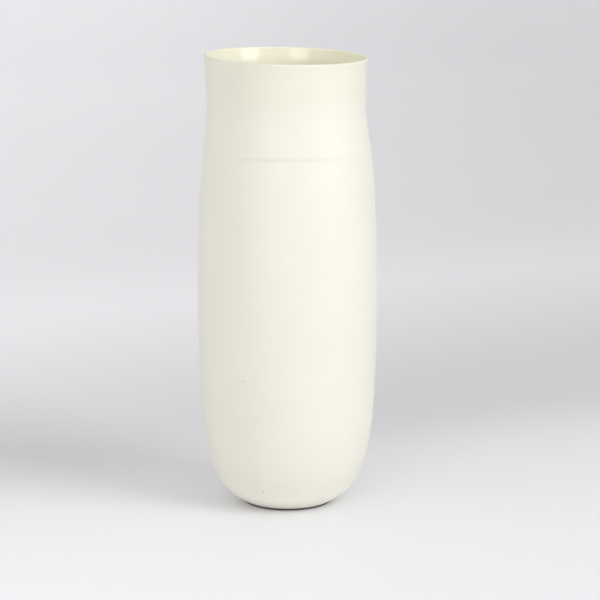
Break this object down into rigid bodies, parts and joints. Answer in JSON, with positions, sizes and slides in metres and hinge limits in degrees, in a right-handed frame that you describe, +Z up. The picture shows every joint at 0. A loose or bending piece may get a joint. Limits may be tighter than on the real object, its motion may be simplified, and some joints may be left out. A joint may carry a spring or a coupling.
{
  "type": "bud vase",
  "caption": "Slim upright bud vase: rounded base on a small foot, long full belly, tooled line at the shoulder, short flared neck and thin lip; bare clay outside, glazed inside.",
  "frame": {"origin": "centre of the foot, on the surface that the vase stands on", "axes": "+Z up along the axis it was thrown on, +X to the right and -Y to the front as it is shown; the neck leans 0.7 mm and the rim stands 0.75 mm higher towards -X"},
  "size_m": [0.072, 0.072, 0.1815],
  "materials": {
    "bare_porcelain": "unglazed, smooth matte with a faint sheen",
    "clear_glaze": "glossy clear glaze, warmer than the bare clay"
  },
  "bodies": {
    "root": {"porcelain_body": "bare_porcelain", "inner_glaze": "clear_glaze"}
  },
  "joints": []
}
